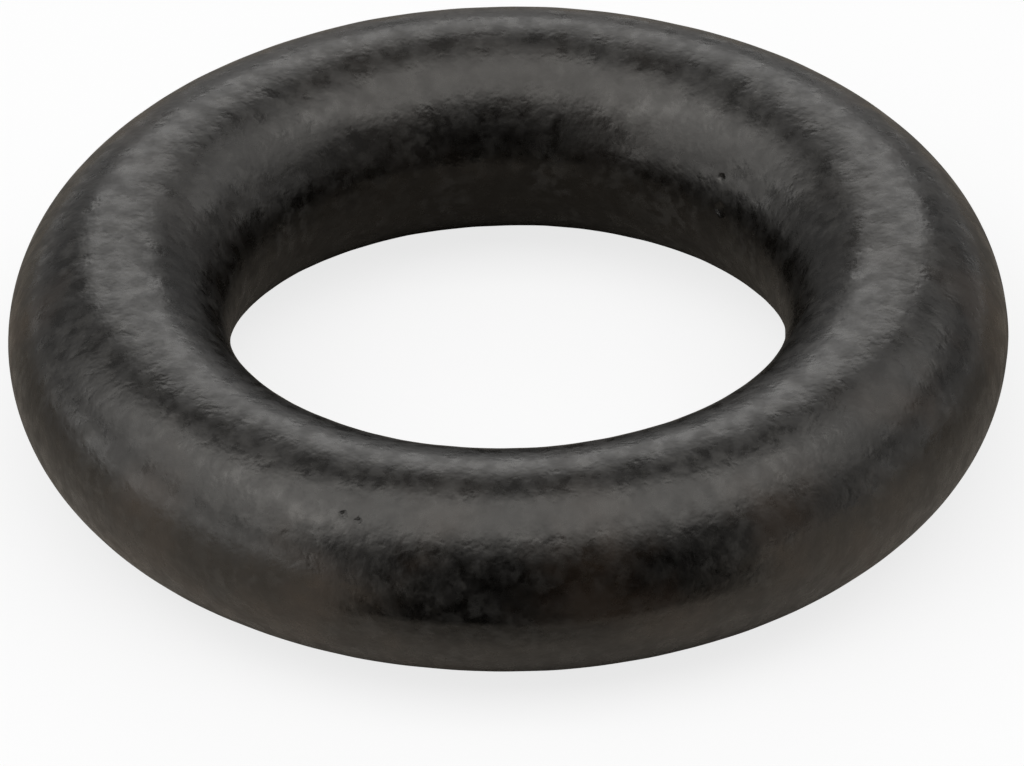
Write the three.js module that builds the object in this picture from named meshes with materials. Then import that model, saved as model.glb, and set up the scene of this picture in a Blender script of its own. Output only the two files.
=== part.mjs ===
// A rubber sealing ring with a round section, moulded in one piece.
//
// Millimetres, +Z up. The ring lies flat. Its origin is the ring's own centre: on the axis of the
// hole, and half way up the section, where the two halves of its mould met.

import * as THREE from 'three';

// Driving dimensions
const insideDiameter = 10; // the hole, before the ring is stretched onto anything
const sectionDiameter = 4; // the round section, measured clear of the mould line
const flashHeight = 0.03; // the trimmed mould line stands this far out of the round
const flashWidth = 0.14; // and is this wide where it meets the round

// How finely the curves are divided
const stepsAround = 96;
const stepsInHalfSection = 16;

// Sizes that follow from them
const sectionRadius = sectionDiameter / 2;
const centreRadius = insideDiameter / 2 + sectionRadius; // from the axis to the middle of the section
const flashHalfAngle = flashWidth / 2 / sectionRadius; // the angle that half the mould line takes up

const rubber = new THREE.MeshStandardMaterial({
  name: 'black_rubber',
  color: 0x2b2a29,
  roughness: 0.5,
  metalness: 0,
});

// A point of the section, in the plane through the ring's axis: x is the distance from that axis and
// y the height. The angle is 0 at the outside of the ring, a quarter turn at its top and a half turn
// at the wall of the hole.
function sectionPoint(angle, radius) {
  return new THREE.Vector2(centreRadius + radius * Math.cos(angle), radius * Math.sin(angle));
}

// The round surface that one half of the mould shaped, from one mould line to the other.
function halfSection(firstAngle) {
  const sweep = Math.PI - 2 * flashHalfAngle;
  return Array.from({ length: stepsInHalfSection + 1 }, (_, step) =>
    sectionPoint(firstAngle + flashHalfAngle + (sweep * step) / stepsInHalfSection, sectionRadius),
  );
}

// The whole section: the crest of the outer mould line, the upper half, the crest of the mould line
// in the hole, the lower half, and back to the first crest.
function sectionOutline() {
  const crestRadius = sectionRadius + flashHeight;
  return [
    sectionPoint(0, crestRadius),
    ...halfSection(0),
    sectionPoint(Math.PI, crestRadius),
    ...halfSection(Math.PI),
    sectionPoint(0, crestRadius),
  ];
}

// The section turned round the axis. A lathe turns about Y, so the mesh is stood on +Z.
function sealingRing() {
  const ring = new THREE.Mesh(new THREE.LatheGeometry(sectionOutline(), stepsAround), rubber);
  ring.name = 'sealing_ring';
  ring.rotation.x = Math.PI / 2;
  return ring;
}

const group = new THREE.Group();
group.add(sealingRing());

export default group;
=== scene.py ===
# A black rubber sealing ring, lying flat on a white table.
#
# Metres, +Z up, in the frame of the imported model: the ring's own centre is the origin, and its hole's
# axis is Z. The ring comes first, then the table, the lamps, the cards that only reflections see, and
# the camera.

import bpy
import numpy as np
from mathutils import Matrix, Vector


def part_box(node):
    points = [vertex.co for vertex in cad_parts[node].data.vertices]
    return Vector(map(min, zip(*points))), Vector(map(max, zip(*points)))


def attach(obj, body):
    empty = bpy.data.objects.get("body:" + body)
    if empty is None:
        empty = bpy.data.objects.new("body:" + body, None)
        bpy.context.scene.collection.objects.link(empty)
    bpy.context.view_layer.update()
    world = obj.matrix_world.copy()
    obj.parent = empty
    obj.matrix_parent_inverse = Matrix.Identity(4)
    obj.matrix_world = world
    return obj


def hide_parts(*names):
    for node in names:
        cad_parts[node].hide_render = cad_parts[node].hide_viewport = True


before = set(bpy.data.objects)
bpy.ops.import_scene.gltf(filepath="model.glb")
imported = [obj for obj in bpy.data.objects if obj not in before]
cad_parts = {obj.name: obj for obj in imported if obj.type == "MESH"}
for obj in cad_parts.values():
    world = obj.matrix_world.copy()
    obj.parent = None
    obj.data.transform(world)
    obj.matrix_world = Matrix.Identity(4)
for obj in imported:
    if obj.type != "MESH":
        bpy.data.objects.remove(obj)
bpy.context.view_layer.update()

# The sealing ring
# One moulding of nitrile rubber, black with carbon. Two mould halves met at the middle of its height,
# inside and out, and the thin flash there was tumbled off, which leaves a faint line. It is satin, with a
# grey bloom and a little brown dust, and nothing fixes it: it is squeezed into its groove.
ring_low, ring_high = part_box("sealing_ring")
section_radius = ring_high.z
mould_line_height = 0.03e-3
mould_line_left = 0.4  # the share of that height which tumbling leaves, at most
mould_line_half_width = 0.11e-3
centre_radius = ring_high.x - mould_line_height - section_radius
steps_around = 480
steps_in_section = 200
swell = 0.016e-3  # how far the cured rubber's surface wanders from the true round
peel_depth = 16.0e-6  # the soft unevenness that the mould's wall left
grain_depth = 6.0e-6  # the fine grain on top of it
pits = [  # where each is, around and across in degrees, and how wide it is
    (40, 167, 0.24e-3),
    (42, 151, 0.16e-3),
    (193, 148, 0.18e-3),
    (249, 51, 0.16e-3),
    (251, 49, 0.13e-3),
]
pit_depth = 0.028e-3
pit_rim = 0.7  # how far a pit's slope reaches from its middle, as a share of its width
pit_raggedness = 0.1e-3  # how far its outline wanders
pit_raggedness_size = 0.125e-3


def ring_surface(around, section):
    """Points of the ring, from the angle around its axis and the angle in its section.

    A point is the centre circle's point, plus a radius along the section's own direction. That radius
    is the section's, less a swell of a few slow waves around and across, plus the mould line: a small
    rounded ridge at the section angles 0 and a half turn, which is higher and lower by turns."""
    from_line = section_radius * np.abs(np.sin(section))
    trimmed = 0.5 + 0.3 * np.sin(3 * around + 0.7) + 0.2 * np.sin(11 * around + 2.1)
    crest = mould_line_height * mould_line_left * trimmed
    ridge = crest * np.exp(-((from_line / mould_line_half_width) ** 2))
    waves = (
        np.sin(5 * around + 2 * section + 0.4)
        + 0.6 * np.sin(13 * around - 3 * section + 1.9)
        + 0.3 * np.sin(31 * around + 5 * section + 4.2)
        + 0.2 * np.sin(58 * around - 7 * section + 2.6)
    ) / 2.1
    radius = section_radius - swell * (1 + waves) * np.sin(section) ** 2 + ridge
    outward = centre_radius + radius * np.cos(section)
    return np.stack([outward * np.cos(around), outward * np.sin(around), radius * np.sin(section)], -1)


def place_on_ring(around, section):
    """The point at two angles in degrees, on the true round."""
    around, section = np.radians([around, section])
    outward = centre_radius + section_radius * np.cos(section)
    return outward * np.cos(around), outward * np.sin(around), section_radius * np.sin(section)


def closed_grid(rows, columns):
    """The four-sided faces of a grid of points whose rows and columns both join up with the first."""
    row, column = np.meshgrid(np.arange(rows), np.arange(columns), indexing="ij")
    next_row = (row + 1) % rows
    next_column = (column + 1) % columns
    corners = [(row, column), (next_row, column), (next_row, next_column), (row, next_column)]
    return np.stack([r * columns + c for r, c in corners], -1).reshape(-1, 4)


def mesh_object(name, points, faces):
    """A smooth mesh object at the origin, from an array of points and an array of faces."""
    mesh = bpy.data.meshes.new(name)
    mesh.from_pydata(points.reshape(-1, 3).tolist(), [], faces.tolist())
    mesh.shade_smooth()
    piece = bpy.data.objects.new(name, mesh)
    bpy.context.scene.collection.objects.link(piece)
    return piece


def new_material(name):
    """A material with a Principled BSDF, and a function that adds a node with its settings."""
    material = bpy.data.materials.new(name)
    material.use_nodes = True
    tree = material.node_tree

    def add(kind, settings=None, **inputs):
        """Adds a node, sets its properties, and sets or links its inputs.

        An input is called by its name, with a low line for a space, or by input_ and its number."""
        node = tree.nodes.new(kind)
        for key, value in (settings or {}).items():
            setattr(node, key, value)
        for key, value in inputs.items():
            if key.startswith("input_"):
                socket = node.inputs[int(key.removeprefix("input_"))]
            else:
                socket = node.inputs[key.replace("_", " ")]
            if isinstance(value, bpy.types.NodeSocket):
                tree.links.new(value, socket)
            else:
                socket.default_value = value
        return node

    return material, tree, add


def blend(add, amount, first, second):
    """One colour changing into another by an amount from 0 to 1, as the output of a Mix node."""
    colours = [
        colour if isinstance(colour, bpy.types.NodeSocket) else (*colour, 1) for colour in (first, second)
    ]
    mix = add("ShaderNodeMix", {"data_type": "RGBA"}, Factor=amount, input_6=colours[0], input_7=colours[1])
    return mix.outputs[2]


def rubber_material():
    """Satin black rubber: black with grey bloom in speckled clouds, brown dust in patches on the outer
    wall, a soft unevenness, a fine grain and a few pits."""
    material, tree, add = new_material("black_rubber")
    shader = tree.nodes["Principled BSDF"]
    place = add("ShaderNodeTexCoord").outputs["Object"]

    def clouds(size, detail, rough=0.55, shift=(0, 0, 0)):
        """Soft noise whose patches are about the given size across, from 0 to 1."""
        moved = add("ShaderNodeVectorMath", {"operation": "ADD"}, input_0=place, input_1=shift)
        noise = add("ShaderNodeTexNoise", Vector=moved.outputs[0], Scale=1 / size, Detail=detail,
                    Roughness=rough)
        return noise.outputs["Fac"]

    def spread(value, low, high, to_low=0.0, to_high=1.0):
        """A value stretched smoothly, so that low becomes to_low and high becomes to_high."""
        stretched = add("ShaderNodeMapRange", {"interpolation_type": "SMOOTHSTEP"}, Value=value,
                        From_Min=low, From_Max=high, To_Min=to_low, To_Max=to_high)
        return stretched.outputs["Result"]

    def times(first, second):
        """The product of two values."""
        return add("ShaderNodeMath", {"operation": "MULTIPLY"}, input_0=first, input_1=second).outputs[0]

    carbon_black = (0.0011, 0.0009, 0.0007)
    grey_bloom = (0.0150, 0.0143, 0.0131)
    brown_dust = (0.0155, 0.0102, 0.0066)
    wide_bloom = spread(clouds(0.9e-3, detail=4), 0.38, 0.72, 0.15, 1.0)
    speckles = spread(clouds(0.26e-3, detail=2, shift=(0.007, 0.002, 0.005)), 0.42, 0.62)
    bloom = times(wide_bloom, speckles)
    flattened = add("ShaderNodeVectorMath", {"operation": "MULTIPLY"}, input_0=place, input_1=(1, 1, 0))
    from_axis = add("ShaderNodeVectorMath", {"operation": "LENGTH"}, input_0=flattened.outputs[0])
    wall_starts = centre_radius + 0.1e-3
    wall_full = centre_radius + 1.8e-3
    outer_wall = spread(from_axis.outputs["Value"], wall_starts, wall_full, 0.15, 1.0)
    patches = spread(clouds(2.6e-3, detail=4, shift=(0.011, 0.004, 0.002)), 0.45, 0.70)
    bloomed = blend(add, bloom, carbon_black, grey_bloom)
    dusty = blend(add, times(outer_wall, patches), bloomed, brown_dust)
    tree.links.new(dusty, shader.inputs["Base Color"])

    mottle = clouds(0.38e-3, detail=3, shift=(0.003, 0.007, 0.001))
    tree.links.new(spread(mottle, 0.3, 0.7, 0.22, 0.41), shader.inputs["Roughness"])

    fine = clouds(0.15e-3, detail=1, rough=0.5)
    peel = add("ShaderNodeBump", Strength=1.0, Distance=peel_depth, Height=mottle)
    grain = add("ShaderNodeBump", Strength=1.0, Distance=grain_depth, Height=fine,
                Normal=peel.outputs["Normal"])

    wander = add("ShaderNodeTexNoise", Vector=place, Scale=1 / pit_raggedness_size, Detail=2)
    ragged = add("ShaderNodeVectorMath", {"operation": "MULTIPLY_ADD"}, input_0=wander.outputs["Color"],
                 input_1=(pit_raggedness,) * 3, input_2=place)
    level = None
    for around, section, width in pits:
        middle = np.add(place_on_ring(around, section), pit_raggedness / 2)
        away = add("ShaderNodeVectorMath", {"operation": "DISTANCE"}, input_0=ragged.outputs[0],
                   input_1=middle)
        slope = spread(away.outputs["Value"], 0.0, pit_rim * width)
        level = slope if level is None else times(level, slope)
    pitted = add("ShaderNodeBump", Strength=1.0, Distance=pit_depth, Height=level,
                 Normal=grain.outputs["Normal"])
    tree.links.new(pitted.outputs["Normal"], shader.inputs["Normal"])
    shader.inputs["IOR"].default_value = 1.5
    shader.inputs["Specular Tint"].default_value = (1.0, 0.965, 0.915, 1)
    return material


around_angles, section_angles = np.meshgrid(
    np.arange(steps_around) * 2 * np.pi / steps_around,
    np.arange(steps_in_section) * 2 * np.pi / steps_in_section,
    indexing="ij",
)
ring = mesh_object("moulded_ring", ring_surface(around_angles, section_angles),
                   closed_grid(steps_around, steps_in_section))
ring.data.materials.append(rubber_material())
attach(ring, "root")
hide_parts("sealing_ring")

# The table
# A wide sheet of white laminate that the ring lies on, level with the lowest line of its section. The
# camera and the reflections see it evenly lit, with only a part of the ring's soft shadow.
table_half_width = 3.0
table_white = 0.80
even_white = 0.96
even_share = 0.82  # how much of the table's seen light is even, without the shadow


def table_material():
    """White laminate: matt to the lamps, and partly an even white to what looks at it."""
    material, tree, add = new_material("white_laminate")
    shader = tree.nodes["Principled BSDF"]
    shader.inputs["Base Color"].default_value = (table_white, table_white, table_white, 1)
    shader.inputs["Roughness"].default_value = 0.9
    shader.inputs["Specular IOR Level"].default_value = 0.0
    even = add("ShaderNodeEmission", Color=(1, 1, 1, 1), Strength=even_white)
    path = add("ShaderNodeLightPath").outputs
    seen = add("ShaderNodeMath", {"operation": "ADD"}, input_0=path["Is Camera Ray"],
               input_1=path["Is Glossy Ray"])
    seen_any = add("ShaderNodeMath", {"operation": "ADD", "use_clamp": True}, input_0=seen.outputs[0],
                   input_1=path["Is Transmission Ray"])
    share = add("ShaderNodeMath", {"operation": "MULTIPLY"}, input_0=seen_any.outputs[0],
                input_1=even_share)
    mixed = add("ShaderNodeMixShader", input_0=share.outputs[0], input_1=shader.outputs[0],
                input_2=even.outputs[0])
    tree.links.new(mixed.outputs[0], tree.nodes["Material Output"].inputs["Surface"])
    return material


table_corners = np.array([(-1, -1), (1, -1), (1, 1), (-1, 1)]) * table_half_width
table = mesh_object("white_table", np.column_stack([table_corners, np.full(4, ring_low.z)]),
                    np.array([[0, 1, 2, 3]]))
table.data.materials.append(table_material())

# The lamps
# Softboxes round the table, as a small product is lit: a wide one overhead, one behind that draws the
# line of light along the top, and a high and a low one at each side. The room adds an even grey.
lamp_distance = 0.6
room_grey = 0.26


def softbox(name, azimuth, elevation, width, height, brightness):
    """A rectangular lamp that faces the ring. Azimuth 0 is the camera's side, and 90 the right.

    Its power is four times its area for each unit of brightness, where 1 looks white."""
    turn, lift = np.radians([azimuth, elevation])
    toward = Vector((np.sin(turn) * np.cos(lift), -np.cos(turn) * np.cos(lift), np.sin(lift)))
    lamp = bpy.data.lights.new(name, "AREA")
    lamp.shape = "RECTANGLE"
    lamp.size = width
    lamp.size_y = height
    lamp.energy = 4 * width * height * brightness
    holder = bpy.data.objects.new(name, lamp)
    facing = toward.to_track_quat("Z", "Y").to_matrix().to_4x4()
    holder.matrix_world = Matrix.Translation(toward * lamp_distance) @ facing
    holder.visible_camera = False
    bpy.context.scene.collection.objects.link(holder)


softbox("overhead_softbox", azimuth=0, elevation=80, width=1.00, height=0.56, brightness=1.7)
softbox("back_softbox", azimuth=180, elevation=31, width=0.40, height=0.29, brightness=1.4)
softbox("left_softbox", azimuth=-86, elevation=41, width=0.78, height=0.38, brightness=1.35)
softbox("low_left_softbox", azimuth=-78, elevation=9, width=0.82, height=0.17, brightness=1.3)
softbox("right_softbox", azimuth=108, elevation=42, width=0.62, height=0.37, brightness=0.85)
softbox("low_right_softbox", azimuth=95, elevation=8, width=0.40, height=0.12, brightness=0.5)

world = bpy.data.worlds.new("studio")
world.use_nodes = True
world.node_tree.nodes["Background"].inputs["Color"].default_value = (room_grey, room_grey, room_grey, 1)
bpy.context.scene.world = world

# The cards
# What the ring mirrors from below and from the camera's side: a grey mat on the table, darker toward the
# back as painted shade, and a black card that lies in front and stands up round the lens. Only reflections
# see them.
mat_radius = 0.06
mat_corners = 64
mat_front = (0.55, 0.50, 0.44)
mat_front_depth = -1.3 * centre_radius
# The mat's darker colour toward the back is painted shade, under and behind the ring.
mat_painted_shade = (0.19, 0.170, 0.145)
mat_painted_shade_depth = 0.45 * centre_radius
card_lift = 0.01e-3
flag_black = (0.01, 0.01, 0.01)
flag_edge = (0.40, 0.37, 0.33)
flag_near = centre_radius + section_radius + 0.8e-3
flag_black_from = centre_radius + section_radius + 4.0e-3
flag_far = 0.3
flag_left = np.radians(-25)
flag_right = np.radians(42)
flag_top = np.radians(42)


def card(name, points, faces, front, front_depth, back, back_depth):
    """A matt card that only reflections see. Its colour changes from front to back, between two depths."""
    material, tree, add = new_material(name)
    shader = tree.nodes["Principled BSDF"]
    depth = add("ShaderNodeSeparateXYZ", Vector=add("ShaderNodeTexCoord").outputs["Object"]).outputs["Y"]
    toward_back = add("ShaderNodeMapRange", {"interpolation_type": "SMOOTHSTEP"}, Value=depth,
                      From_Min=front_depth, From_Max=back_depth)
    tree.links.new(blend(add, toward_back.outputs["Result"], front, back), shader.inputs["Base Color"])
    shader.inputs["Specular IOR Level"].default_value = 0
    piece = mesh_object(name, points, faces)
    piece.data.materials.append(material)
    piece.visible_camera = False
    piece.visible_diffuse = False
    piece.visible_shadow = False


mat_angles = np.arange(mat_corners) * 2 * np.pi / mat_corners
mat_level = np.full(mat_corners, ring_low.z + card_lift)
card("grey_mat",
     np.column_stack([mat_radius * np.cos(mat_angles), mat_radius * np.sin(mat_angles), mat_level]),
     np.arange(mat_corners)[None], mat_front, mat_front_depth, mat_painted_shade, mat_painted_shade_depth)

flag_level = ring_low.z + 2 * card_lift
flag_rows = [(flag_near, flag_level), (flag_far, flag_level), (flag_far, flag_far * np.tan(flag_top))]
flag_points = [
    (distance * np.tan(side), -distance, height)
    for distance, height in flag_rows
    for side in (flag_left, flag_right)
]
card("black_flag", np.array(flag_points), np.array([[0, 1, 3, 2], [2, 3, 5, 4]]),
     flag_black, -flag_black_from, flag_edge, -flag_near)

# The camera
# A long lens from the front, looking down at the ring, turned a little so that the ring's right end
# stands higher. It slides sideways until the ring's centre has its place in the picture.
picture_width = 1024
picture_height = 766
sensor_width = 36.0
camera_elevation = np.radians(34.9)
camera_roll = np.radians(0.85)
camera_distance = 75 * centre_radius
centre_radius_in_picture = 388.8  # pixels
centre_in_picture = (508.0, 335.5)  # pixels from the left and from the top

camera_data = bpy.data.cameras.new("camera")
camera_data.sensor_width = sensor_width
camera_data.lens = sensor_width / picture_width * centre_radius_in_picture * camera_distance / centre_radius
camera_data.clip_start = 0.01
camera_data.clip_end = 10
camera = bpy.data.objects.new("camera", camera_data)
toward_camera = Vector((0, -np.cos(camera_elevation), np.sin(camera_elevation)))
turned = toward_camera.to_track_quat("Z", "Y").to_matrix() @ Matrix.Rotation(-camera_roll, 3, "Z")
metres_per_pixel = centre_radius / centre_radius_in_picture
slide_right = picture_width / 2 - centre_in_picture[0]
slide_up = centre_in_picture[1] - picture_height / 2
slide = turned @ Vector((slide_right, slide_up, 0))
camera.matrix_world = (
    Matrix.Translation(toward_camera * camera_distance + slide * metres_per_pixel) @ turned.to_4x4()
)
bpy.context.scene.collection.objects.link(camera)
bpy.context.scene.camera = camera
bpy.context.scene.view_settings.view_transform = "Standard"
